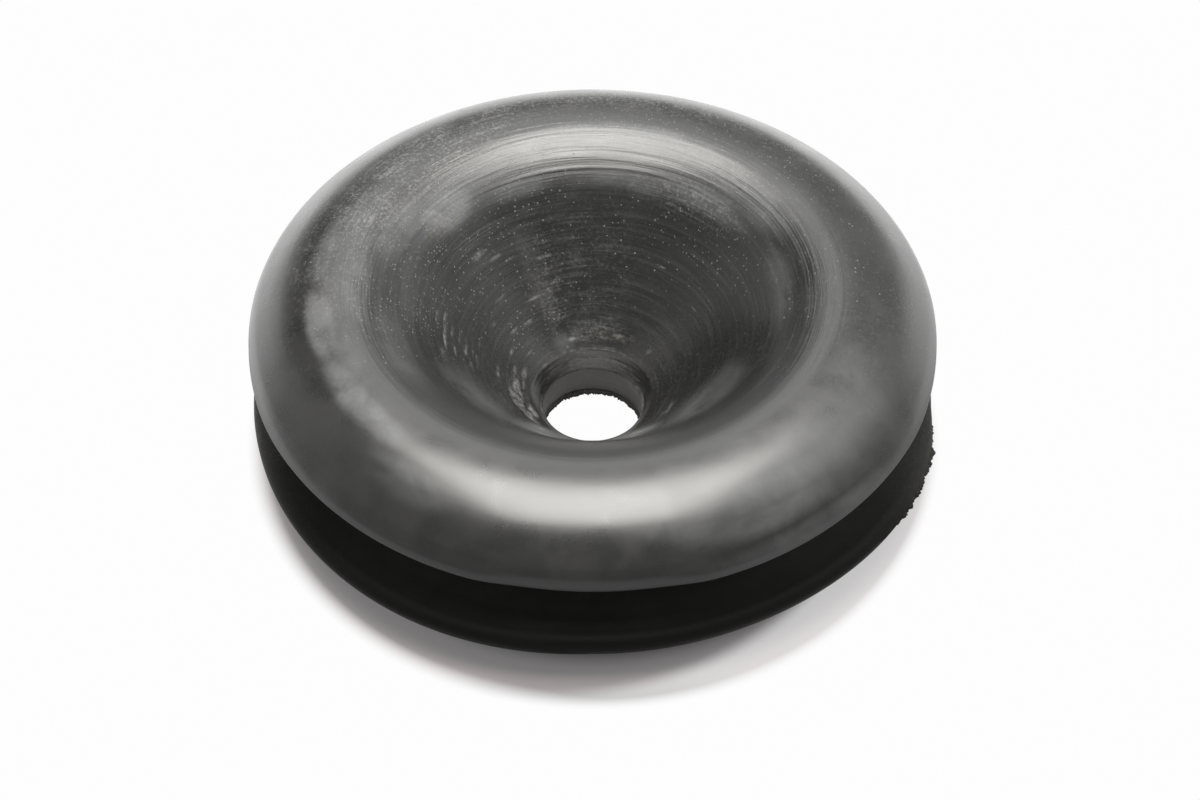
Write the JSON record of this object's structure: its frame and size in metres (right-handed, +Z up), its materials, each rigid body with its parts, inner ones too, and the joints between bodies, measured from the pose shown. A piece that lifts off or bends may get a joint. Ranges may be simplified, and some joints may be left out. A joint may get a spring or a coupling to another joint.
{
  "type": "rubber grommet",
  "caption": "Round rubber panel grommet with two domed flanges, a groove between them, a dished round-shouldered mouth and a small through bore.",
  "frame": {"origin": "on the grommet's axis, in the plane of the flat lower face that it rests on", "axes": "+Z up along the axis, out of the dished mouth; the part is round, so +X and +Y are any two square directions"},
  "size_m": [0.048, 0.048, 0.0144],
  "materials": {
    "rubber": "dusty matt, with a dull sheen on the rounds"
  },
  "bodies": {
    "root": {"grommet": "rubber"}
  },
  "joints": []
}
